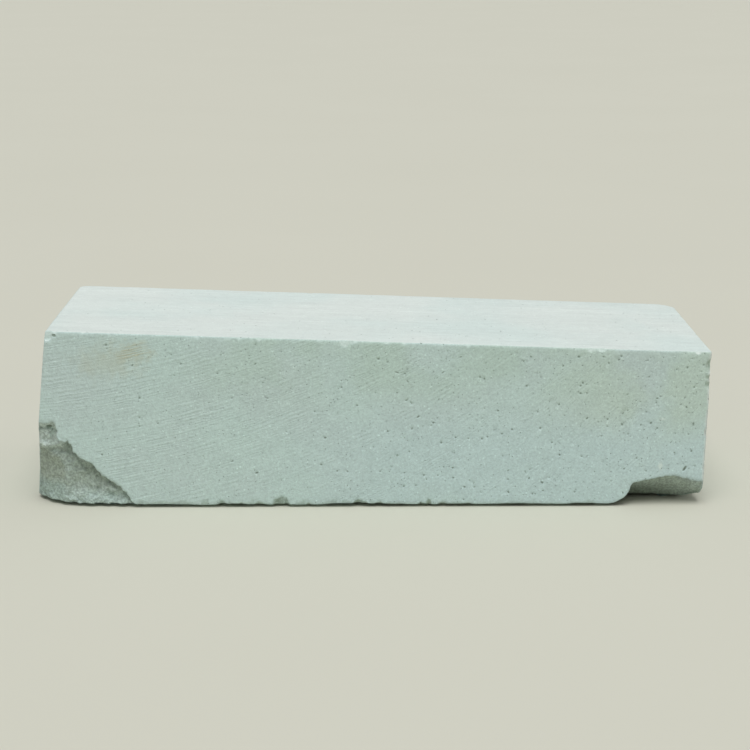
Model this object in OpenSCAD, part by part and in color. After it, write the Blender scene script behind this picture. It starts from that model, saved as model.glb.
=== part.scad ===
// Natural sharpening whetstone: one sawn block of fine-grained rock with a flat honing face.
// Two lower front corners are broken, a ragged flake at the left and a shallow scoop at the right.
// Millimetres. +X runs along the stone, -Y is the sawn front face, +Z is up.
// The origin is the middle of the block's outline, on the base.

/* [Block] */
// Overall length, from the foot of the left end to the top of the right end
length = 223; // [190:1:240]
// Width of the honing face, from front to back
width = 75; // [60:1:90]
// Height of the left end, the taller one
height_left = 60; // [50:0.5:70]
// Height of the right end, the lower one
height_right = 52.5; // [40:0.5:60]
// Lean of the left end in degrees: its foot stands out past its top edge
left_lean = 6.5; // [0:0.5:9]
// Lean of the right end in degrees: its foot is drawn in under its top edge
right_lean = 1; // [0:0.5:6]

/* [Rounded corners] */
// Radius of the back left upright corner
back_left_r = 4; // [1:0.5:10]
// Radius of the back right upright corner
back_right_r = 8; // [1:0.5:14]

/* [Broken corners] */
// Height of the left break on the front face
flake_h = 29; // [20:0.5:34]
// Length of the left break along the base
flake_l = 35; // [20:1:50]
// Depth of the left break at the foot of the left end
flake_d = 13.5; // [6:0.5:20]
// Height of the right break on the front face
scoop_h = 10.8; // [6:0.2:16]
// Length of the right break along the base
scoop_l = 36.5; // [20:0.5:50]
// Depth of the right break under the front face
scoop_d = 11.9; // [6:0.1:20]
// Depth of the random roughness of the broken stone
rough_d = 0.3; // [0:0.05:0.6]

/* [Hidden] */
$fn = 64;
stone_colour = [0.66, 0.73, 0.70];
past = 3;                       // how far a cutter runs past the block
break_step = 1.2;               // spacing of a break's cross-sections
break_rows = 3;                 // rows between two corners of a cross-section

// Each break is described by curves along the base, as [share of its length, share of a size].
// Distances start at the nearer end of the stone. A rim under zero ends the break.
flake_rim = [[0, 1], [0.2, 1.02], [0.245, 1.06], [0.29, 0.83], [0.36, 0.80], [0.44, 0.63],
    [0.58, 0.52], [0.68, 0.38], [0.80, 0.31], [0.92, 0.14], [1, 0], [1.06, -0.04]];
flake_lip_drop = [[0, 0.23], [0.17, 0.25], [0.27, 0.10], [0.35, 0.045], [0.9, 0.03], [1, 0.01]];
flake_lip_depth = [[0, 0.39], [0.17, 0.28], [0.27, 0.24], [0.6, 0.22], [0.9, 0.11], [1, 0.03]];
flake_mid_depth = [[0, 0.82], [0.17, 0.41], [0.31, 0.28], [0.6, 0.19], [0.9, 0.09], [1, 0.02]];
flake_foot_depth = [[0, 1], [0.04, 0.72], [0.19, 0.39], [0.34, 0.20], [0.53, 0.05], [1, 0.01]];

scoop_rim = [[0, 0.80], [0.19, 0.95], [0.30, 1], [0.41, 0.98], [0.53, 0.85], [0.67, 0.75],
    [0.70, 0.50], [0.715, 0.34], [0.82, 0.12], [0.95, 0.03], [1, 0], [1.06, -0.05]];
scoop_lip_drop = [[0, 0.35], [0.2, 0.23], [0.4, 0.14], [0.66, 0.10], [0.73, 0.05], [1, 0.02]];
scoop_lip_depth = [[0, 0.16], [0.2, 0.14], [0.4, 0.16], [0.66, 0.30], [0.73, 0.24], [1, 0.03]];
scoop_mid_depth = [[0, 0.56], [0.2, 0.54], [0.4, 0.62], [0.66, 0.74], [0.76, 0.56], [1, 0.06]];
scoop_foot_depth = [[0, 1], [0.1, 0.87], [0.35, 0.94], [0.65, 1], [0.78, 0.78], [0.92, 0.40], [1, 0.10]];

// The block seen from the front: base, leaning ends and the sloping honing face
function side_outline() = [
    [-length / 2, 0],
    [length / 2 - height_right * tan(right_lean), 0],
    [length / 2, height_right],
    [-length / 2 + height_left * tan(left_lean), height_left]
];

// Points along a chain of corners, with the given number of steps between two corners
function refine(chain, steps) = [
    for (i = [0 : len(chain) - 2])
        for (k = [0 : steps - 1])
            chain[i] + (chain[i + 1] - chain[i]) * k / steps,
    chain[len(chain) - 1]
];

// A repeatable uneven value between -1 and 1 for each grid point of a broken surface
function uneven(i, j) = sin(i * 137.5 + j * 71.3) * cos(i * 53.1 - j * 119.7);

// Corners of the broken surface at one cross-section, from the rim down, as [depth, height]
function break_chain(rim, drop, lip, mid, foot) = [
    [0, rim],
    [lip, rim - drop],
    [mid, (rim - drop - 1) / 2],
    [foot, -1]
];

// One closed cross-section of a break: the broken surface, then round outside the block
function break_section(chain, i) = concat(
    [for (j = [0 : len(chain) - 1])
        let (r = (j == 0 || j == len(chain) - 1) ? 0 : rough_d * uneven(i, j))
            chain[j] + [r, 0]],
    [[chain[len(chain) - 1][0], -past], [-past, -past], [-past, chain[0][1]]]
);

// A solid through a row of cross-sections with equal numbers of points
module loft(sections) {
    n = len(sections[0]);
    rows = len(sections);
    points = [for (s = sections) for (p = s) p];
    walls = [for (i = [0 : rows - 2]) for (j = [0 : n - 1])
        let (a = i * n + j, b = i * n + (j + 1) % n)
            each [[a, b, b + n], [a, b + n, a + n]]];
    first = [for (j = [n - 1 : -1 : 0]) j];
    last = [for (j = [0 : n - 1]) (rows - 1) * n + j];
    polyhedron(points, concat(walls, [first, last]), convexity = 6);
}

// The stone that is missing from a lower front corner, with the end of the block at x = 0
module corner_break(size, rim, drop, lip, mid, foot) {
    reach = size[0] * 1.06;
    count = ceil((reach + past) / break_step);
    loft([for (i = [0 : count])
        let (x = -past + (reach + past) * i / count,
            s = x / size[0],
            chain = refine(break_chain(
                size[2] * lookup(s, rim), size[2] * lookup(s, drop),
                size[1] * lookup(s, lip), size[1] * lookup(s, mid),
                size[1] * lookup(s, foot)), break_rows))
            [for (p = break_section(chain, i)) [x, p[0], p[1]]]
    ]);
}

// What a rounded upright corner takes away; the corner is at the origin, the stone at +X -Y
module upright_corner(r, h) {
    difference() {
        translate([-past, -r, -past]) cube([r + past, r + past, h + 2 * past]);
        translate([r, -r, -2 * past]) cylinder(r = r, h = h + 4 * past);
    }
}

module block() {
    rotate([90, 0, 0]) linear_extrude(width, center = true) polygon(side_outline());
}

module stone() {
    color(stone_colour) difference() {
        block();
        translate([-length / 2, width / 2, 0]) rotate([0, left_lean, 0])
            upright_corner(back_left_r, height_left);
        translate([length / 2 - height_right * tan(right_lean), width / 2, 0])
            rotate([0, right_lean, 0]) mirror([1, 0, 0])
                upright_corner(back_right_r, height_right);
        translate([-length / 2, -width / 2, 0])
            corner_break([flake_l, flake_d, flake_h], flake_rim,
                flake_lip_drop, flake_lip_depth, flake_mid_depth, flake_foot_depth);
        translate([length / 2, -width / 2, 0]) mirror([1, 0, 0])
            corner_break([scoop_l, scoop_d, scoop_h], scoop_rim,
                scoop_lip_drop, scoop_lip_depth, scoop_mid_depth, scoop_foot_depth);
    }
}

stone();
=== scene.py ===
"""Looks for a natural sharpening whetstone: one sawn block with two broken lower corners.

The block stands on z = 0 with its sawn front face towards -Y and its honing face up.
Lengths given as numbers are in millimetres, times MM; everything else is in metres.
"""
import math

import bmesh
import bpy
import numpy as np
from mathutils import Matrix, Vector, kdtree


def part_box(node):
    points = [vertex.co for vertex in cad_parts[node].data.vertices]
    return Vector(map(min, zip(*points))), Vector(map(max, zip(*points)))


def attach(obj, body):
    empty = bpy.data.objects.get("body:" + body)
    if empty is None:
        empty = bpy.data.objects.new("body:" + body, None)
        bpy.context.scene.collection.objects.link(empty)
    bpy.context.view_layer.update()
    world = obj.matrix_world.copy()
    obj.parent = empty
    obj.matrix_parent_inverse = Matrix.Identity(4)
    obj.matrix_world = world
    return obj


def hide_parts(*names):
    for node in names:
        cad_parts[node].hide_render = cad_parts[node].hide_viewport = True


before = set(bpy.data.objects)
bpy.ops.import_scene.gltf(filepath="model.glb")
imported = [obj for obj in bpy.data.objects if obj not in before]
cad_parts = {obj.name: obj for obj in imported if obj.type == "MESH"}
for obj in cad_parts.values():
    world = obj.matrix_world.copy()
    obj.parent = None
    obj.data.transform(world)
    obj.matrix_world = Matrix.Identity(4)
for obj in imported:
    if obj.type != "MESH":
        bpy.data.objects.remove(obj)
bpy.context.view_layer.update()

MM = 0.001
SEED = 7
VOXEL = 0.4 * MM       # spacing of the mesh before it is thinned
MAX_TRIANGLES = 190_000

# Chips along the front edges, as (place along x, width, height on the front face, depth)
TOP_EDGE_CHIPS = [
    (-103.6, 4.2, 2.6, 1.2), (-101.2, 2.6, 1.2, 1.2),
    (-92, 2.2, 0.6, 0.7), (-84, 1.4, 0.4, 0.5), (-76, 1.5, 0.5, 0.5), (-55.5, 3.6, 0.9, 0.9),
    (-45, 1.5, 0.5, 0.5), (-38, 1.6, 0.6, 0.6), (-35.5, 2.2, 0.8, 0.7), (-16, 3.4, 0.6, 0.7),
    (-7.6, 4.6, 2.3, 1.1), (-4.8, 2.6, 1.0, 0.9), (6, 2.6, 0.7, 0.7), (32, 3.0, 0.6, 0.6),
    (67, 4.0, 0.7, 0.7), (72, 4.4, 1.3, 1.0), (75.5, 3.2, 0.8, 0.8),
]
BASE_EDGE_CHIPS = [
    (-48.5, 4.0, 1.9, 0.7), (-45.0, 2.6, 2.4, 0.8), (-42.4, 3.2, 2.2, 0.8), (-36.0, 5.0, 2.5, 0.9),
    (-29.6, 5.2, 2.9, 1.0), (-27.4, 2.6, 3.6, 1.0), (-19.7, 3.0, 1.8, 0.6), (-3.6, 4.4, 3.2, 1.1),
    (-1.4, 3.4, 2.7, 0.9), (3.0, 3.6, 2.1, 0.7), (10.5, 3.0, 2.0, 0.6), (17.4, 4.8, 2.8, 1.0),
    (19.6, 3.0, 2.3, 0.8), (24.6, 4.4, 2.3, 0.8), (33, 3.0, 1.7, 0.6), (46, 3.6, 1.8, 0.6),
    (60, 4.6, 1.8, 0.6),
]
# Chips of the right foot behind the scoop, as (place along y, width, height, reach)
RIGHT_FOOT_CHIPS = [(-26.0, 14.0, 4.4, 5.3), (-16.0, 10.0, 2.2, 2.8)]
# Chips up the front right and left edges, as (place along z, height, width on the front face, depth)
RIGHT_EDGE_CHIPS = [
    (48.2, 5.2, 2.0, 2.0), (46.2, 3.0, 2.3, 1.8), (43.6, 3.4, 1.9, 1.5), (41.2, 4.2, 1.5, 1.2),
]
RIGHT_EDGE_WEAR = [
    (37.0, 6.0, 0.9, 0.8), (31.5, 5.5, 0.6, 0.9), (26.0, 7.5, 1.1, 1.0), (19.5, 5.0, 0.7, 0.8),
    (14.5, 5.0, 0.9, 0.7),
]
LEFT_EDGE_CHIPS = [
    (56.5, 4.0, 0.8, 0.9), (46, 3.0, 0.4, 0.5), (36, 3.0, 0.5, 0.5), (31, 2.0, 0.5, 0.6),
]

# Larger holes of the front face, as (x, z, length, width, tilt in degrees)
LARGE_HOLES = [
    (16, 31, 1.3, 0.6, 35), (21, 29, 0.9, 0.7, 0), (14, 27, 1.0, 0.6, 70), (18, 11, 0.8, 0.7, 0),
    (46, 5, 1.2, 0.6, -60), (-4, 35, 0.8, 0.6, 0), (-9, 41, 0.8, 0.6, 0), (-37, 12, 1.4, 0.6, 20),
    (-45, 16, 1.0, 0.5, 15), (-69, 29, 0.7, 0.6, 0), (-75, 31, 0.7, 0.6, 0), (-75, 28, 0.7, 0.5, 0),
    (-61, 49, 0.7, 0.6, 0), (-64, 52, 0.6, 0.6, 0), (68, 51, 1.0, 0.9, 0), (76, 51, 0.8, 0.6, 0),
    (63, 48, 0.9, 0.6, 60), (81, 50, 0.8, 0.7, 0), (94, 37, 1.0, 0.6, 0), (78, 30, 0.9, 0.7, 50),
    (62, 35, 0.8, 0.7, 0), (56, 27, 0.8, 0.7, 0), (89, 28, 0.8, 0.6, 0), (106, 19, 0.9, 0.7, 40),
    (104, 13, 2.3, 0.9, 55), (84, 13, 0.8, 0.6, 0), (83, 32, 1.0, 0.6, 60), (84.5, 33, 0.6, 0.6, 0),
    (-101.6, 58.5, 1.7, 1.0, -20), (12.5, 43, 1.3, 0.4, -55), (24, 46, 1.4, 0.4, 30),
    (3, 50.5, 0.9, 0.8, 0), (57, 8.5, 1.5, 0.4, -12), (57.5, 5.5, 0.8, 0.6, 0),
    (54, 4.5, 0.8, 0.6, 60), (9, 46, 1.9, 0.4, -20),
]
# The left break: hollows under its top rim as (x, z, half width, half height, depth), and the
# line of its crest as (x, z), below a ledge and beside a smoother outer facet
RIM_HOLLOWS = [
    (-104.9, 27.5, 0.9, 0.6, 1.7), (-108.0, 27.0, 2.0, 0.4, 0.8), (-110.7, 26.6, 0.6, 0.6, 1.0),
]
CREST = [(-109, 21), (-105, 19), (-101.7, 17), (-100.2, 13.5), (-100, 9.5), (-100.6, 3)]


# ---------------------------------------------------------------- measures from the frame

def block_outline(node):
    """The corners of the block seen from the front, as (x, z): feet and tops, left and right."""
    low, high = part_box(node)
    points = np.array([v.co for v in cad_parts[node].data.vertices])
    x, z = points[:, 0], points[:, 2]
    near = 0.05 * MM
    left_top = x[z > high.z - near].min()
    right_foot = x[z < low.z + near].max()
    right_top = z[x > high.x - near].max()
    corners = [(low.x, low.z), (right_foot, low.z), (high.x, right_top), (left_top, high.z)]
    return [np.array(c) for c in corners]


LOW, HIGH = [np.array(corner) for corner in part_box("stone")]
LEFT_FOOT, RIGHT_FOOT, RIGHT_TOP, LEFT_TOP = block_outline("stone")


def side_plane(a, b):
    """A flat side along Y through two corners of the outline: a point on it, its inward normal."""
    x, z = (b - a) / np.linalg.norm(b - a)
    return np.array((a[0], 0, a[1])), np.array((-z, 0, x))


PLANES = {
    "front": (np.array((0, LOW[1], 0)), np.array((0.0, 1.0, 0.0))),
    "back": (np.array((0, HIGH[1], 0)), np.array((0.0, -1.0, 0.0))),
    "base": side_plane(LEFT_FOOT, RIGHT_FOOT),
    "right": side_plane(RIGHT_FOOT, RIGHT_TOP),
    "top": side_plane(RIGHT_TOP, LEFT_TOP),
    "left": side_plane(LEFT_TOP, LEFT_FOOT),
}


def depth_under(points, side):
    """How far each point is inside one of the block's flat sides."""
    origin, inward = PLANES[side]
    return (points - origin) @ inward


def at(outline_corner, y):
    return np.array((outline_corner[0], y, outline_corner[1]))


X_AXIS, Y_AXIS, Z_AXIS = np.eye(3)


# Each edge of the block: its two ends, then the two sides that meet there
EDGES = {
    "front_top": (at(LEFT_TOP, LOW[1]), at(RIGHT_TOP, LOW[1]), "front", "top"),
    "back_top": (at(LEFT_TOP, HIGH[1]), at(RIGHT_TOP, HIGH[1]), "back", "top"),
    "left_top": (at(LEFT_TOP, LOW[1]), at(LEFT_TOP, HIGH[1]), "left", "top"),
    "right_top": (at(RIGHT_TOP, LOW[1]), at(RIGHT_TOP, HIGH[1]), "right", "top"),
    "front_base": (at(LEFT_FOOT, LOW[1]), at(RIGHT_FOOT, LOW[1]), "front", "base"),
    "back_base": (at(LEFT_FOOT, HIGH[1]), at(RIGHT_FOOT, HIGH[1]), "back", "base"),
    "left_base": (at(LEFT_FOOT, LOW[1]), at(LEFT_FOOT, HIGH[1]), "left", "base"),
    "right_base": (at(RIGHT_FOOT, LOW[1]), at(RIGHT_FOOT, HIGH[1]), "right", "base"),
    "front_left": (at(LEFT_FOOT, LOW[1]), at(LEFT_TOP, LOW[1]), "front", "left"),
    "front_right": (at(RIGHT_FOOT, LOW[1]), at(RIGHT_TOP, LOW[1]), "front", "right"),
}


# ---------------------------------------------------------------- random fields

def unit_cell(points, size):
    """The lattice cell that each point is in, and where it is in that cell, from 0 to 1."""
    q = points / size + 1000.0
    cell = np.floor(q).astype(int)
    return cell, q - cell


def triples(values):
    return [np.array((i, j, k)) for i in values for j in values for k in values]


def noise(points, size, seed):
    """Smooth random values, from -1 to 1, that change over the given size."""
    n = 64
    table = np.random.default_rng([SEED, seed]).uniform(-1, 1, (n, n, n))
    cell, t = unit_cell(points, size)
    t = t * t * (3 - 2 * t)
    total = np.zeros(len(points))
    for corner in triples((0, 1)):
        weight = np.prod(np.where(corner == 1, t, 1 - t), axis=1)
        i, j, k = ((cell + corner) % n).T
        total += weight * table[i, j, k]
    return total


def layered_noise(points, size, seed, layers=3, gain=0.5):
    """Noise at halving sizes, each layer weaker than the one before."""
    return sum(gain ** i * noise(points, size / 2 ** i, seed + i) for i in range(layers))


def facets(points, size, seed, softness=0.3):
    """Tilted flat facets of about the given size, as on broken stone, from about -1 to 1."""
    n = 32
    rng = np.random.default_rng([SEED, seed])
    place = rng.uniform(0, 1, (n, n, n, 3))
    tilt = rng.normal(0, 1, (n, n, n, 3))
    cell, t = unit_cell(points, size)
    total, weights = np.zeros(len(points)), np.zeros(len(points))
    for step in triples((-1, 0, 1)):
        i, j, k = ((cell + step) % n).T
        away = t - step - place[i, j, k]
        weight = np.exp(-np.sum(away ** 2, axis=1) / softness ** 2)
        total += weight * np.sum(away * tilt[i, j, k], axis=1)
        weights += weight
    return total / np.maximum(weights, 1e-12)


def smooth_step(value, low, high):
    t = np.clip((value - low) / (high - low), 0, 1)
    return t * t * (3 - 2 * t)


# ---------------------------------------------------------------- mesh tools

def new_object(name, mesh):
    obj = bpy.data.objects.new(name, mesh)
    bpy.context.scene.collection.objects.link(obj)
    return obj


def apply_modifiers(obj):
    graph = bpy.context.evaluated_depsgraph_get()
    mesh = bpy.data.meshes.new_from_object(obj.evaluated_get(graph))
    old = obj.data
    obj.modifiers.clear()
    obj.data = mesh
    bpy.data.meshes.remove(old)


def get_vectors(items, key):
    flat = np.empty(len(items) * 3, np.float32)
    items.foreach_get(key, flat)
    return flat.reshape(-1, 3).astype(float)


def set_points(mesh, points):
    mesh.vertices.foreach_set("co", points.astype(np.float32).ravel())
    mesh.update()


def store(mesh, name, values):
    """Keeps one number per vertex, for the material to read."""
    layer = mesh.attributes.new(name, "FLOAT", "POINT")
    layer.data.foreach_set("value", values.astype(np.float32))


def dense_copy(node, name):
    """A closed, evenly spaced mesh of a CAD node, fine enough to be worked on."""
    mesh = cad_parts[node].data.copy()
    mesh.materials.clear()
    welded = bmesh.new()
    welded.from_mesh(mesh)
    bmesh.ops.remove_doubles(welded, verts=welded.verts, dist=0.001 * MM)
    welded.to_mesh(mesh)
    welded.free()
    obj = new_object(name, mesh)
    remesh = obj.modifiers.new("even_spacing", "REMESH")
    remesh.mode = "VOXEL"
    remesh.voxel_size = VOXEL
    apply_modifiers(obj)
    return obj


def subdivide_near(mesh, spots):
    """Splits the faces within reach of each (centre, reach) spot, for small shapes to show."""
    work = bmesh.new()
    work.from_mesh(mesh)
    work.faces.ensure_lookup_table()
    tree = kdtree.KDTree(len(work.faces))
    for face in work.faces:
        tree.insert(face.calc_center_median(), face.index)
    tree.balance()
    chosen = {i for centre, reach in spots for _, i, _ in tree.find_range(centre, reach)}
    edges = {edge for i in chosen for edge in work.faces[i].edges}
    bmesh.ops.subdivide_edges(work, edges=list(edges), cuts=1, use_grid_fill=True)
    work.to_mesh(mesh)
    work.free()


# ---------------------------------------------------------------- wear and damage

def edge_chip(edge, share, width, first, second):
    """An ellipsoid that bites the edge: share along it, width, and its reach on the two sides."""
    start, end, side_a, side_b = EDGES[edge]
    in_a, in_b = PLANES[side_a][1], PLANES[side_b][1]
    along = (end - start) / np.linalg.norm(end - start)
    down_a = in_b - (in_b @ in_a) * in_a
    down_b = in_a - (in_a @ in_b) * in_b
    out = 0.5                                    # the centre lies this share of a radius outside
    reach = math.sqrt(1 - out ** 2) - out
    radii = np.array((width / 2 / math.sqrt(1 - 2 * out ** 2), first / reach, second / reach))
    axes = np.array((along, down_a / np.linalg.norm(down_a), down_b / np.linalg.norm(down_b)))
    centre = start + (end - start) * share - out * (radii[1] * axes[1] + radii[2] * axes[2])
    push = axes[2] if side_b == "base" else axes[1] + axes[2]
    return centre, radii, axes, push / np.linalg.norm(push)


def carve(points, tree, chip, ragged, seed):
    """Points inside the chip's ellipsoid move into the stone until they lie on it."""
    centre, radii, axes, push = chip
    near = [i for _, i, _ in tree.find_range(centre, radii.max() * 1.3)]
    if not near:
        return near, np.zeros(0)
    p = points[near]
    size = 1 + ragged * layered_noise(p, radii.min() * 1.2 + 0.3 * MM, seed, 2)
    local = (p - centre) @ axes.T / radii / size[:, None]
    way = (axes @ push) / radii / size[:, None]
    a, b, c = (way ** 2).sum(1), (local * way).sum(1), (local ** 2).sum(1) - 1
    inside = c < 0
    travel = np.where(inside, (-b + np.sqrt(np.maximum(b * b - a * c, 0))) / a, 0)
    points[near] += travel[:, None] * push
    return near, travel


def planned_chips():
    """The chips that are listed, then the small random ones, as (edge, chip, colour layer)."""
    chips = []

    def by_place(edge, axis, rows, layer):
        start, end = EDGES[edge][:2]
        for place, width, first, second in rows:
            share = (place * MM - start[axis]) / (end[axis] - start[axis])
            chips.append((edge_chip(edge, share, width * MM, first * MM, second * MM), layer))

    by_place("front_top", 0, TOP_EDGE_CHIPS, "pale_chip")
    by_place("front_base", 0, BASE_EDGE_CHIPS, "dark_chip")
    by_place("right_base", 1, RIGHT_FOOT_CHIPS, "dark_chip")
    by_place("front_right", 2, RIGHT_EDGE_CHIPS, "dark_chip")
    by_place("front_right", 2, RIGHT_EDGE_WEAR, "pale_chip")
    by_place("front_left", 2, LEFT_EDGE_CHIPS, "pale_chip")
    rng = np.random.default_rng([SEED, 100])
    spacing = {"front_top": 11, "back_top": 7, "left_top": 7, "right_top": 7, "front_base": 12,
               "back_base": 6, "left_base": 6, "right_base": 6, "front_left": 7, "front_right": 6}
    for edge, gap in spacing.items():
        start, end = EDGES[edge][:2]
        for _ in range(int(np.linalg.norm(end - start) / (gap * MM))):
            width = rng.uniform(0.8, 2.2) * rng.uniform(0.7, 1.3) * MM
            reach = width * rng.uniform(0.2, 0.45)
            chip = edge_chip(edge, rng.uniform(0.02, 0.98), width, reach, reach * rng.uniform(0.7, 1.2))
            chips.append((chip, "dark_chip" if "base" in edge else "pale_chip"))
    return chips


def face_hole(side, place, length, width, tilt):
    """A hole in a flat side: its centre, its own axes and its radii."""
    inward = PLANES[side][1]
    across = Y_AXIS if side in ("left", "right") else X_AXIS
    across = across - (across @ inward) * inward
    across /= np.linalg.norm(across)
    up = np.cross(inward, across)
    if up @ Z_AXIS < 0:
        up = -up
    turn = math.radians(tilt)
    long_axis = math.cos(turn) * across + math.sin(turn) * up
    radii = np.array((length / 2, width / 2, 0.42 * width))
    return np.array(place), np.array((long_axis, np.cross(inward, long_axis), inward)), radii


def planned_holes():
    """Holes in every side. The front's large ones are listed; the others are random."""
    holes = [face_hole("front", (x * MM, LOW[1], z * MM), length * MM, width * MM, tilt)
             for x, z, length, width, tilt in LARGE_HOLES]
    counts = {"front": 330, "back": 330, "top": 30, "base": 220, "left": 60, "right": 80}
    rng = np.random.default_rng([SEED, 200])
    for side, count in counts.items():
        origin, inward = PLANES[side]
        for _ in range(count):
            place = LOW + (HIGH - LOW) * rng.uniform(0.02, 0.98, 3)
            chance_to_stay = 0.1 + 0.9 * (place[0] / HIGH[0] + 1) / 2
            if side in ("front", "back", "base") and rng.uniform() > chance_to_stay:
                place[0] = rng.uniform(0, HIGH[0])
            place -= ((place - origin) @ inward) * inward
            width = (0.36 + 0.36 * rng.uniform() ** 2) * MM
            holes.append(face_hole(side, place, width * rng.uniform(1, 1.6), width, rng.uniform(0, 180)))
    return holes


def sink(points, tree, hole):
    """Points over the hole move in by its rounded profile; the result is each one's share."""
    centre, axes, radii = hole
    near = [i for _, i, _ in tree.find_range(centre, radii[:2].max() * 1.05)]
    if not near:
        return near, np.zeros(0)
    local = (points[near] - centre) @ axes.T / radii
    share = np.sqrt(np.clip(1 - local[:, 0] ** 2 - local[:, 1] ** 2, 0, 1))
    points[near] += (share * radii[2])[:, None] * axes[2]
    return near, share


def round_edge(points, edge, radius, seed):
    """Rolls an edge over to an uneven radius. The result is how far each point was rolled, up to 1."""
    _, _, side_a, side_b = EDGES[edge]
    deepest = np.maximum(depth_under(points, side_a), depth_under(points, side_b))
    near = np.flatnonzero(deepest < 2 * radius)
    p = points[near]
    r = radius * (1 + 0.3 * layered_noise(p, 5 * MM, seed, 3))
    gap_a, gap_b = r - depth_under(p, side_a), r - depth_under(p, side_b)
    span = np.hypot(gap_a, gap_b)
    pull = np.where((gap_a > 0) & (gap_b > 0) & (span > r), 1 - r / np.maximum(span, 1e-9), 0)
    points[near] += np.outer(gap_a * pull, PLANES[side_a][1]) + np.outer(gap_b * pull, PLANES[side_b][1])
    return near, np.clip(pull * 6, 0, 1)


def distance_to_line(points, line):
    """Distance, seen from the front, to a line of (x, z) points."""
    here = points[:, [0, 2]]
    best = np.full(len(points), np.inf)
    for a, b in zip(line[:-1], line[1:]):
        run = b - a
        t = np.clip((here - a) @ run / (run @ run), 0, 1)
        best = np.minimum(best, np.linalg.norm(here - a - t[:, None] * run, axis=1))
    return best


def break_rims():
    """The line where each break meets the front face, from the CAD node, as (x, z) points."""
    points = np.array([v.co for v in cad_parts["stone"].data.vertices])
    margin = 0.3 * MM
    on_front = np.abs(points[:, 1] - LOW[1]) < 0.01 * MM
    low_down = (points[:, 2] > margin) & (points[:, 2] < HIGH[2] / 2)
    rim = np.unique(np.round(points[on_front & low_down][:, [0, 2]], 6), axis=0)
    return [rim[rim[:, 0] < 0], rim[rim[:, 0] > 0]]


def broken_mask(points):
    """1 on the two broken corners, 0 on the sawn sides and the rounded corners."""
    inside = np.min([depth_under(points, side) for side in PLANES], axis=0)
    in_front_part = smooth_step(-points[:, 1], 15 * MM, 18 * MM)
    low_down = smooth_step(-points[:, 2], -36 * MM, -33 * MM)
    return smooth_step(inside, 0.15 * MM, 0.6 * MM) * in_front_part * low_down


def shift_rims(points):
    """Moves the stone within the front face, near the rims, so that the rims are ragged."""
    for rim, ragged in zip(break_rims(), (0.5 * MM, 0.2 * MM)):
        chosen = np.flatnonzero((points[:, 1] < -18 * MM) & (distance_to_line(points, rim) < 7 * MM))
        p = points[chosen]
        near = np.exp(-(distance_to_line(p, rim) / (3 * MM)) ** 2)
        near *= smooth_step(-p[:, 1], 18 * MM, 22 * MM)
        free_x = np.minimum(depth_under(p, "left"), depth_under(p, "right"))
        near_x = near * smooth_step(free_x, 0, 2 * MM)
        near_z = near * smooth_step(p[:, 2], 0, 2 * MM)
        points[chosen, 0] += near_x * ragged * layered_noise(p, 2.6 * MM, 11, 3, 0.6)
        points[chosen, 2] += near_z * ragged * layered_noise(p, 2.6 * MM, 21, 3, 0.6)


def undercut_foot(points, normals):
    """Draws the lowest edge of the stone in all round, so that a dark contact line shows below it."""
    high, deep, spread = 1.25 * MM, 3.5 * MM, 12 * MM
    out = normals * (1, 1, 0)
    facing = np.linalg.norm(out, axis=1)
    low = points[:, 2] < high
    wall = np.flatnonzero(low & (facing > 0.4))
    under = np.flatnonzero(low & (facing <= 0.4))
    out = out[wall] / facing[wall][:, None]
    tree = kdtree.KDTree(len(wall))
    for i, point in enumerate(points[wall]):
        tree.insert(point, i)
    tree.balance()
    found = [tree.find(point)[1:] for point in points[under]]
    nearest, away = np.array([i for i, _ in found]), np.array([distance for _, distance in found])
    uneven = 1 + 0.15 * layered_noise(points[wall], 9 * MM, 36, 2)
    share = smooth_step(1 - points[wall, 2] / (high * uneven), 0.1, 0.5)
    points[under] -= (deep * np.clip(1 - away / spread, 0, 1))[:, None] * out[nearest]
    points[wall] -= (deep * share)[:, None] * out


def left_break_zones(points):
    """How far each point is in the left break's outer facet, ledge, step under the rim and hollows."""
    crest = np.array(CREST) * MM
    crest_x = np.interp(points[:, 2], crest[::-1, 1], crest[::-1, 0])
    ledge = smooth_step(points[:, 2], 19 * MM, 22 * MM)
    ledge *= smooth_step(-points[:, 0], 98.5 * MM, 101.5 * MM)
    outer = smooth_step(crest_x - points[:, 0], -0.5 * MM, 1 * MM)
    from_rim = distance_to_line(points, break_rims()[0])
    uneven = 1 + 0.4 * layered_noise(points, 4 * MM, 35, 3)
    step = smooth_step(from_rim / uneven, 0, 0.7 * MM)
    step *= smooth_step(-from_rim / uneven, -3.4 * MM, -1.1 * MM)
    step *= (1 - outer) * (1 - ledge)
    hollow = np.zeros(len(points))
    for x, z, half_width, half_height, depth in RIM_HOLLOWS:
        across, up = (points[:, 0] / MM - x) / half_width, (points[:, 2] / MM - z) / half_height
        hollow += depth * np.exp(-(across ** 2 + up ** 2))
    return outer, ledge, step, hollow


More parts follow.
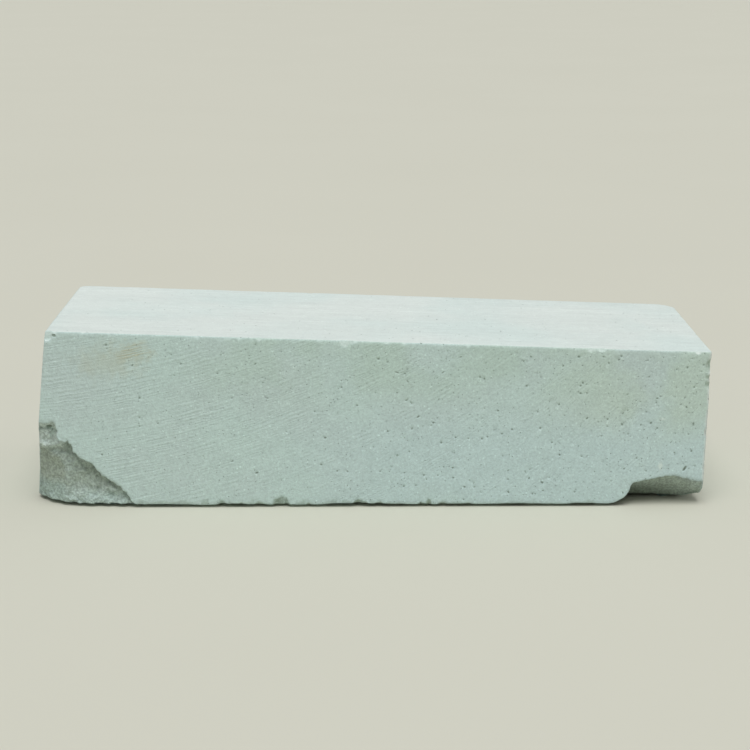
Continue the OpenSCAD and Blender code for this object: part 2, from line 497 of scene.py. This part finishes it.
def roughen_breaks(all_points, all_normals):
    """Gives the broken corners their ledge, crest and hollows, and their facets and grain."""
    chosen = np.flatnonzero(broken_mask(all_points))
    points, normals = all_points[chosen], all_normals[chosen]
    broken = broken_mask(points)
    left = broken * (points[:, 0] < 0)
    right = broken * (points[:, 0] > 0)
    outer, ledge, step, hollow = left_break_zones(points)
    up_ledge = np.clip((points[:, 2] / MM - 21) / 6, 0, 1)
    inward = 0.35 * step + ledge * (2.6 * up_ledge - 2.0) + hollow
    inward -= 1.0 * np.clip(1 - distance_to_line(points, np.array(CREST) * MM) / (2.8 * MM), 0, 1)
    points[:, 1] += inward * left * MM
    grain = 1 - 0.65 * outer * (points[:, 0] < 0)
    rough = 0.42 * facets(points, 4.5 * MM, 31) + 0.28 * grain * facets(points, 1.7 * MM, 32)
    rough += 0.22 * grain * layered_noise(points, 1.0 * MM, 33, 2)
    points += ((left + 0.35 * right) * rough * MM)[:, None] * normals
    all_points[chosen] = points


def keep_inside(points):
    """Nothing stands out of the block's flat sides."""
    for side, (_, inward) in PLANES.items():
        outside = np.minimum(depth_under(points, side), 0)
        points -= outside[:, None] * inward


def add_waves(points):
    """The sawn sides are a little uneven, always inwards."""
    for side, (seed, height) in {"front": (41, 0.12), "back": (44, 0.2), "left": (47, 0.25),
                                 "right": (50, 0.25), "base": (53, 0.08), "top": (56, 0.05)}.items():
        under = depth_under(points, side)
        near = np.flatnonzero(under < 0.5 * MM)
        depth = height * MM * (0.5 + 0.5 * layered_noise(points[near], 22 * MM, seed, 3))
        close = smooth_step(-under[near], -0.5 * MM, 0)
        points[near] += np.outer(close * depth, PLANES[side][1])


def build_stone():
    obj = dense_copy("stone", "whetstone")
    holes, chips = planned_holes(), planned_chips()
    spots = [(centre, radii[:2].max() * 1.25) for centre, _, radii in holes]
    subdivide_near(obj.data, spots)
    mesh = obj.data
    points, normals = get_vectors(mesh.vertices, "co"), get_vectors(mesh.vertices, "normal")
    layers = {name: np.zeros(len(points)) for name in ("pale_chip", "dark_chip", "hole")}
    shift_rims(points)
    roughen_breaks(points, normals)
    for edge, radius in {"front_top": 0.45, "back_top": 0.7, "left_top": 0.6, "right_top": 0.6,
                         "front_base": 0.75, "back_base": 0.8, "left_base": 0.9, "right_base": 0.9,
                         "front_left": 0.6, "front_right": 1.3}.items():
        near, rolled = round_edge(points, edge, radius * MM, 60)
        if "base" not in edge and edge != "front_left":
            layers["pale_chip"][near] = rolled
    tree = kdtree.KDTree(len(points))
    for i, point in enumerate(points):
        tree.insert(point, i)
    tree.balance()
    for k, (chip, layer) in enumerate(chips):
        near, travel = carve(points, tree, chip, 0.18, 70 + k % 7)
        layers[layer][near] = np.maximum(layers[layer][near], smooth_step(travel, 0.02 * MM, 0.4 * MM))
    undercut_foot(points, normals)
    for hole in holes:
        near, share = sink(points, tree, hole)
        # The hole layer gives painted shade in the material, stronger in longer holes
        dark = share * min(1, 0.45 + 0.8 * hole[2][0] / MM)
        layers["hole"][near] = np.maximum(layers["hole"][near], dark)
    add_waves(points)
    keep_inside(points)
    set_points(mesh, points)
    layers["broken"] = broken_mask(points)
    in_left_break = layers["broken"] * (points[:, 0] < 0)
    for name, values in zip(("outer_facet", "ledge", "rim_step_shade", "hollow"), left_break_zones(points)):
        layers[name] = values * in_left_break
    for name, values in layers.items():
        store(mesh, name, values)
    thin_out(obj)
    finish_mesh(obj)
    return obj


def thin_out(obj):
    obj.data.calc_loop_triangles()
    thin = obj.modifiers.new("thinner", "DECIMATE")
    thin.ratio = min(1, MAX_TRIANGLES / len(obj.data.loop_triangles))
    apply_modifiers(obj)


def finish_mesh(obj):
    obj.data.shade_smooth()
    box_layout(obj.data)


# ---------------------------------------------------------------- layout for the baked pictures

def box_layout(mesh):
    """Lays the six sides out on one square: four long strips, and the two ends beside them."""
    length, width, height = HIGH - LOW
    gap = 3 * MM
    side = max(length + height + 3 * gap, 2 * (height + width) + 5 * gap)
    rows = np.cumsum([gap, height + gap, height + gap, width + gap])
    column = length + 2 * gap
    # for each direction: which coordinates run right and up, and where the strip starts
    charts = {(1, -1): (0, 2, gap, rows[0]), (1, 1): (0, 2, gap, rows[1]),
              (2, 1): (0, 1, gap, rows[2]), (2, -1): (0, 1, gap, rows[3]),
              (0, -1): (2, 1, column, rows[0]), (0, 1): (2, 1, column, rows[0] + width + gap)}
    normals = get_vectors(mesh.polygons, "normal")
    axis = np.abs(normals).argmax(axis=1)
    sign = np.sign(normals[np.arange(len(axis)), axis]).astype(int)
    sizes = np.empty(len(mesh.polygons), np.int32)
    mesh.polygons.foreach_get("loop_total", sizes)
    corner_axis, corner_sign = np.repeat(axis, sizes), np.repeat(sign, sizes)
    corners = np.empty(len(mesh.loops), np.int32)
    mesh.loops.foreach_get("vertex_index", corners)
    at_corner = (get_vectors(mesh.vertices, "co") - LOW)[corners]
    layout = np.zeros((len(corners), 2))
    for (way, direction), (right, up, u, v) in charts.items():
        chosen = (corner_axis == way) & (corner_sign == direction)
        layout[chosen] = at_corner[chosen][:, [right, up]] + (u, v)
    layer = mesh.uv_layers.new(name="OFBake")
    layer.data.foreach_set("uv", (layout / side).astype(np.float32).ravel())


# ---------------------------------------------------------------- materials

class Graph:
    """Builds a material's nodes. Each call adds one node and returns its output."""

    def __init__(self, name):
        self.material = bpy.data.materials.new(name)
        self.material.use_nodes = True
        self.nodes = self.material.node_tree.nodes
        self.links = self.material.node_tree.links
        self.shader = self.nodes["Principled BSDF"]
        self.place = self.vector("SCALE", self.coordinates("Object"), Scale=1 / MM)

    def node(self, kind, inputs, output=0, **settings):
        node = self.nodes.new(kind)
        for key, value in settings.items():
            setattr(node, key, value)
        for key, value in inputs.items():
            if isinstance(value, bpy.types.NodeSocket):
                self.links.new(value, node.inputs[key])
            else:
                node.inputs[key].default_value = value
        return node.outputs[output]

    def coordinates(self, kind):
        return self.node("ShaderNodeTexCoord", {}, output=kind)

    def attribute(self, name):
        return self.node("ShaderNodeAttribute", {}, output="Fac", attribute_name=name)

    def split(self, vector):
        first = self.node("ShaderNodeSeparateXYZ", {0: vector})
        return [first.node.outputs[i] for i in range(3)]

    def vector(self, operation, a, b=None, **named):
        inputs = {0: a, **({} if b is None else {1: b}), **named}
        return self.node("ShaderNodeVectorMath", inputs, operation=operation)

    def math(self, operation, *values):
        return self.node("ShaderNodeMath", dict(enumerate(values)), operation=operation)

    def product(self, *values):
        result = values[0]
        for value in values[1:]:
            result = self.math("MULTIPLY", result, value)
        return result

    def total(self, *values):
        result = values[0]
        for value in values[1:]:
            result = self.math("ADD", result, value)
        return result

    def fade(self, value, low, high, start=0.0, end=1.0):
        """Goes smoothly from start, where value is low, to end, where it is high."""
        inputs = {"Value": value, "From Min": low, "From Max": high, "To Min": start, "To Max": end}
        return self.node("ShaderNodeMapRange", inputs, interpolation_type="SMOOTHSTEP")

    def mix(self, share, a, b):
        return self.node("ShaderNodeMix", {0: share, 6: a, 7: b}, output=2, data_type="RGBA")

    def tint(self, colour, share):
        """Multiplies a colour by one plus the share."""
        return self.vector("SCALE", colour, Scale=self.math("ADD", share, 1.0))

    def noise(self, size, vector=None, detail=2.0, rough=0.5, shift=0.0):
        """Values around 0.5 that change over the given size, in millimetres."""
        vector = self.place if vector is None else vector
        inputs = {"Vector": vector, "W": shift, "Scale": 1 / size, "Detail": detail, "Roughness": rough}
        return self.node("ShaderNodeTexNoise", inputs, noise_dimensions="4D")

    def stripes(self, phase, size, detail=1.0):
        """Uneven parallel lines across a distance in millimetres, around 0.5."""
        inputs = {"W": self.math("DIVIDE", phase, size), "Scale": 1.0, "Detail": detail}
        return self.node("ShaderNodeTexNoise", inputs, noise_dimensions="1D")

    def spots(self, size, smallest, largest, share, vector=None):
        """1 in round spots of random radius in millimetres, in that share of cells of the given size."""
        vector = self.place if vector is None else vector
        cells = self.node("ShaderNodeTexVoronoi", {"Vector": vector, "Scale": 1 / size}).node
        chance, amount, _ = self.split(cells.outputs["Color"])
        radius = self.fade(amount, 0.0, 1.0, smallest / size, largest / size)
        edge = self.math("DIVIDE", cells.outputs["Distance"], radius)
        return self.product(self.fade(edge, 0.55, 1.0, 1.0, 0.0), self.math("LESS_THAN", chance, share))


def colour(r, g, b):
    return (r, g, b, 1.0)


MINT = colour(0.582, 0.735, 0.700)
BLUISH = colour(0.575, 0.725, 0.718)
GREENISH = colour(0.545, 0.690, 0.630)
OLIVE = colour(0.565, 0.695, 0.625)
LILAC = colour(0.572, 0.698, 0.676)
HONED = colour(0.690, 0.755, 0.722)
HONED_COOL = colour(0.648, 0.742, 0.712)
BROKEN = colour(0.452, 0.542, 0.472)
BROKEN_GREY = colour(0.480, 0.575, 0.520)
# Bluer broken stone, lighter partly by painted light, for low on the left break
BROKEN_LIGHT = colour(0.500, 0.625, 0.580)
# Painted light: the paler colour given to the left break's ledge
LEDGE_PAINTED_LIGHT = colour(0.620, 0.730, 0.680)
BROKEN_OLIVE = colour(0.435, 0.512, 0.438)
BROKEN_BLUE = colour(0.430, 0.550, 0.500)
# Painted shade for the broken corners: under the left rim, in its hollows and in the right scoop
BROKEN_PAINTED_SHADE = colour(0.270, 0.330, 0.265)
PALE_CHIP = colour(0.720, 0.800, 0.760)
DARK_CHIP = colour(0.400, 0.510, 0.430)
# Painted shade: the dark colour of the holes and pinholes, for the shade inside them
HOLE_PAINTED_SHADE = colour(0.260, 0.330, 0.280)
STAIN = colour(0.535, 0.575, 0.450)
FLECK = colour(0.740, 0.860, 0.815)

SAW_RADIUS = 325.0          # of the arcs that the saw left on the front and back, in mm
SAW_CENTRE = -145.0         # place along x of the lowest point of those arcs, in mm
SAW_SPACING = 0.75          # between two arcs, in mm
FRONT_Y = LOW[1] / MM       # place along y of the front face, in mm


def side_shares(g):
    """How far each point of the surface is part of the honing face, the base, an end or a long side."""
    nx, ny, nz = g.split(g.coordinates("Normal"))
    honed = g.fade(nz, 0.75, 0.93)
    base = g.fade(nz, -0.93, -0.75, 1.0, 0.0)
    end = g.fade(g.math("ABSOLUTE", nx), 0.75, 0.93)
    return honed, base, end, g.math("SIGN", ny)


def saw_marks(g, base, end, facing):
    """The saw's fine broken lines, from -1 to 1: arcs on the long sides, straighter elsewhere."""
    x, y, z = g.split(g.place)
    along = g.math("ADD", g.product(x, facing, -1.0), -SAW_CENTRE)
    drop = g.math("SQRT", g.math("SUBTRACT", SAW_RADIUS ** 2, g.product(along, along)))
    arc = g.math("ADD", z, drop)
    on_base = g.total(g.product(x, 0.35), y)
    on_end = g.total(g.product(z, 0.25), y)
    phase = g.node("ShaderNodeMix", {0: base, 2: arc, 3: on_base}, data_type="FLOAT")
    phase = g.node("ShaderNodeMix", {0: end, 2: phase, 3: on_end}, data_type="FLOAT")
    wobble = g.product(g.math("SUBTRACT", g.noise(4), 0.5), 1.1)
    lines = g.stripes(g.total(phase, wobble), SAW_SPACING)
    patches = g.fade(g.noise(11, detail=3.0, shift=3.0), 0.36, 0.62, 0.5, 1.0)
    strokes = g.fade(g.noise(3.5, detail=2.0, shift=9.0), 0.38, 0.6, 0.4, 1.0)
    fading = g.fade(g.product(x, facing, -1.0), -80.0, 70.0, 1.0, 0.6)
    return g.product(g.fade(lines, 0.3, 0.7, -1.0, 1.0), patches, strokes, fading)


def sawn_colour(g, saw, grain):
    """Grey-green stone, bluer low at the right, more olive high at the right, lilac at the left."""
    x, _, z = g.split(g.place)
    cloud = g.noise(34, detail=3.0, shift=1.0)
    cloud_b = g.noise(21, detail=3.0, shift=2.0)
    result = g.mix(g.fade(cloud, 0.35, 0.65), MINT, LILAC)
    green = g.product(g.fade(z, 30.0, 46.0), g.fade(x, -75.0, -30.0), g.fade(cloud_b, 0.35, 0.6))
    result = g.mix(green, result, GREENISH)
    blue = g.product(g.fade(x, -50.0, 20.0), g.fade(z, 18.0, 42.0, 1.0, 0.0), g.fade(cloud, 0.25, 0.5))
    result = g.mix(blue, result, BLUISH)
    olive = g.product(g.fade(x, 45.0, 90.0), g.fade(z, 20.0, 34.0), g.fade(cloud_b, 0.3, 0.55))
    result = g.mix(olive, result, OLIVE)
    mottle = g.product(g.math("SUBTRACT", g.noise(5, detail=3.0, shift=4.0), 0.5), 0.12)
    shade = g.total(mottle, g.product(saw, 0.045), g.product(grain, 0.65))
    return g.tint(result, shade)


def blotch(g, centre, radii, soft=0.5, lumps=3.0):
    """1 inside an uneven oval patch with lumps of the given size, in millimetres."""
    away = g.vector("DIVIDE", g.vector("SUBTRACT", g.place, centre), radii)
    length = g.node("ShaderNodeVectorMath", {0: away}, output="Value", operation="LENGTH")
    uneven = g.product(g.math("SUBTRACT", g.noise(lumps, detail=3.0), 0.5), 1.6)
    return g.fade(g.total(length, uneven), 1 - soft, 1.0, 1.0, 0.0)


def honed_colour(g, grain):
    """The pale dusty honing face, with faint uneven streaks along its length."""
    stretched = g.vector("MULTIPLY", g.place, (0.04, 1.0, 1.0))
    streak = g.math("SUBTRACT", g.noise(1.2, stretched, detail=3.0), 0.5)
    patches = g.fade(g.noise(14, detail=3.0, shift=13.0), 0.38, 0.62, 0.3, 1.3)
    wide = g.math("SUBTRACT", g.noise(7, stretched, detail=2.0, shift=5.0), 0.5)
    dust = g.math("SUBTRACT", g.noise(3.2, detail=4.0, rough=0.65, shift=14.0), 0.5)
    cloud = g.fade(g.noise(40, detail=3.0, shift=6.0), 0.35, 0.65)
    result = g.mix(cloud, HONED, HONED_COOL)
    lines = g.total(g.product(streak, patches, 0.22), g.product(wide, 0.1))
    return g.tint(result, g.total(lines, g.product(dust, 0.18), g.product(grain, 0.25))), streak


def broken_colour(g):
    """Darker, granular broken stone, smoother and more olive at the outer end of the left break, with
    painted shade under the left rim, in its hollows and in the right scoop, and painted light on the
    left ledge and, with a bluer tone of its own, low on the left break.
    """
    x, _, z = g.split(g.place)
    grit = g.noise(0.8, detail=3.0, rough=0.65, shift=7.0)
    patch = g.noise(6, detail=3.0, shift=8.0)
    left = g.math("LESS_THAN", x, 0.0)
    result = g.mix(g.fade(patch, 0.35, 0.65), BROKEN, BROKEN_GREY)
    # Low on the left break: a bluer tone of the stone itself, also made lighter by painted light where
    # the lower slope faces up
    low = g.product(left, g.fade(g.total(z, g.product(patch, 8.0)), 7.0, 12.0, 1.0, 0.0))
    result = g.mix(low, result, BROKEN_LIGHT)
    outer = g.attribute("outer_facet")
    result = g.mix(g.product(outer, 0.8), result, BROKEN_BLUE)
    result = g.mix(g.product(outer, g.fade(z, 6.0, 10.0)), result, BROKEN_OLIVE)
    # Painted light: the left break's ledge is painted paler than the rest of the break, for the light it
    # catches
    result = g.mix(g.attribute("ledge"), result, LEDGE_PAINTED_LIGHT)
    # Painted shade just under the left break's top rim, where the rim shades the stone
    result = g.mix(g.product(g.attribute("rim_step_shade"), 0.25), result, BROKEN_PAINTED_SHADE)
    # Painted shade in the hollows under the left rim
    result = g.mix(g.fade(g.attribute("hollow"), 0.3, 1.5, 0.0, 0.8), result, BROKEN_PAINTED_SHADE)
    # Painted shade in the right scoop, which faces down: darker low down and towards its left end
    scoop = g.product(g.math("GREATER_THAN", x, 0.0), g.fade(z, 0.0, 9.0, 1.0, 0.35))
    scoop = g.product(scoop, g.fade(x, 88.0, 108.0, 1.0, 0.4))
    result = g.mix(scoop, result, BROKEN_PAINTED_SHADE)
    return g.tint(result, g.fade(grit, 0.42, 0.58, -0.2, 0.14)), grit


def stone_material():
    g = Graph("natural_stone")
    honed, base, end, facing = side_shares(g)
    grain = g.math("SUBTRACT", g.noise(0.7, detail=3.0, rough=0.7), 0.5)
    saw = g.product(saw_marks(g, base, end, facing), g.math("SUBTRACT", 1.0, honed))
    sawn = sawn_colour(g, saw, grain)
    stain = blotch(g, (-77.0, FRONT_Y, 52.8), (9.0, 8.0, 5.0), 0.9)
    stain = g.product(stain, g.fade(saw, -0.5, 0.5, 0.25, 0.95))
    sawn = g.mix(stain, sawn, STAIN)
    halo = g.product(blotch(g, (-84.0, FRONT_Y, 50.0), (17.0, 8.0, 8.0), 0.9), 0.35)
    sawn = g.mix(halo, sawn, STAIN)
    top, streak = honed_colour(g, grain)
    result = g.mix(honed, sawn, top)
    broken, grit = broken_colour(g)
    is_broken = g.attribute("broken")
    result = g.mix(is_broken, result, broken)
    x, _, _ = g.split(g.place)
    # Paler worn edges and chips, at 0.3 of the layer; at the right end the full layer, painted light on
    # the rolled right edge, which turns away from the lamps
    pale = g.product(g.attribute("pale_chip"), g.fade(x, 103.0, 108.0, 0.3, 1.0))
    result = g.mix(pale, result, PALE_CHIP)
    speckle = g.fade(g.noise(1.1, detail=2.0, shift=12.0), 0.4, 0.6, 0.35, 0.95)
    result = g.mix(g.product(g.attribute("dark_chip"), speckle), result, DARK_CHIP)
    for fleck_x, fleck_z, wide, high in ((96, 30, 1.3, 0.6), (96, 14, 1.1, 2.3)):
        fleck = blotch(g, (fleck_x, FRONT_Y, fleck_z), (wide, 1.0, high), 0.8, 0.8)
        result = g.mix(g.product(fleck, 0.8), result, FLECK)
    share = g.fade(x, -100.0, -45.0, 0.2, 0.5)
    share = g.product(share, g.fade(honed, 0.0, 1.0, 1.0, 0.15), g.math("SUBTRACT", 1.0, is_broken))
    # Painted shade: pinholes that are only in the material, dark dots for the shade in them, with a dent
    # in the bump
    pinholes = g.spots(1.3, 0.18, 0.34, share)
    result = g.mix(g.product(pinholes, 0.62), result, HOLE_PAINTED_SHADE)
    # Painted shade inside the holes that are sunk into the mesh
    holes = g.attribute("hole")
    result = g.mix(g.fade(holes, 0.05, 0.9, 0.0, 0.85), result, HOLE_PAINTED_SHADE)
    elsewhere = g.vector("ADD", g.place, (47.0, 31.0, 13.0))
    flecks = g.spots(1.3, 0.18, 0.4, g.product(share, 1.4), elsewhere)
    result = g.tint(result, g.product(flecks, 0.18))
    g.links.new(result, g.shader.inputs["Base Color"])

    rough = g.total(0.86, g.product(honed, -0.08), g.product(grain, 0.2))
    g.links.new(rough, g.shader.inputs["Roughness"])
    g.shader.inputs["Specular IOR Level"].default_value = 0.3

    sawn_relief = g.total(g.product(saw, 0.036), g.product(grain, 0.15), g.product(pinholes, -0.25))
    height = g.total(sawn_relief, g.product(streak, honed, 0.04), g.product(grit, is_broken, 0.75))
    bump = g.node("ShaderNodeBump", {"Height": height, "Strength": 1.0, "Distance": MM})
    g.links.new(bump, g.shader.inputs["Normal"])
    return g.material


def floor_material():
    g = Graph("pale_floor")
    shade = g.mix(g.noise(180), colour(0.628, 0.626, 0.538), colour(0.608, 0.606, 0.518))
    g.links.new(shade, g.shader.inputs["Base Color"])
    g.shader.inputs["Roughness"].default_value = 0.9
    return g.material


# ---------------------------------------------------------------- floor, lights and camera

def make_floor():
    half = 15.0             # in metres; it fills the camera's view
    mesh = bpy.data.meshes.new("floor")
    corners = [(-half, -half, 0), (half, -half, 0), (half, half, 0), (-half, half, 0)]
    mesh.from_pydata(corners, [], [(0, 1, 2, 3)])
    mesh.materials.append(floor_material())
    new_object("floor", mesh)


def make_light(name, kind, energy, tilt, place=(0, 0, 2), **settings):
    data = bpy.data.lights.new(name, kind)
    data.energy = energy
    for key, value in settings.items():
        setattr(data, key, value)
    obj = new_object(name, data)
    obj.location = place
    obj.rotation_euler = [math.radians(t) for t in tilt]
    return obj


def make_lights():
    world = bpy.data.worlds.new("studio")
    world.use_nodes = True
    sky = world.node_tree.nodes["Background"]
    sky.inputs["Color"].default_value = (1.0, 1.0, 0.98, 1)
    sky.inputs["Strength"].default_value = 0.08
    bpy.context.scene.world = world
    make_light("overhead", "SUN", 1.95, (20, 0, 0), angle=math.radians(40))
    make_light("wide_overhead", "SUN", 0.96, (0, 0, 0), angle=math.radians(150))
    make_light("right_side", "SUN", 0.3, (0, 65, 0), angle=math.radians(60))


def make_camera():
    """A camera where the perspective of the block's edges puts it, looking a little down."""
    lens, looks_down, turned = 82.06, 14.361, -0.575
    data = bpy.data.cameras.new("camera")
    data.lens = lens
    data.sensor_width = 36
    camera = new_object("camera", data)
    camera.location = Vector((-3.5, -575, 182.8)) * MM
    camera.rotation_euler = (math.radians(90 - looks_down), 0, math.radians(turned))
    bpy.context.scene.camera = camera


stone = build_stone()
stone.data.materials.append(stone_material())
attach(stone, "root")
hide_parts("stone")

make_floor()
make_lights()
make_camera()
bpy.context.scene.view_settings.view_transform = "Standard"
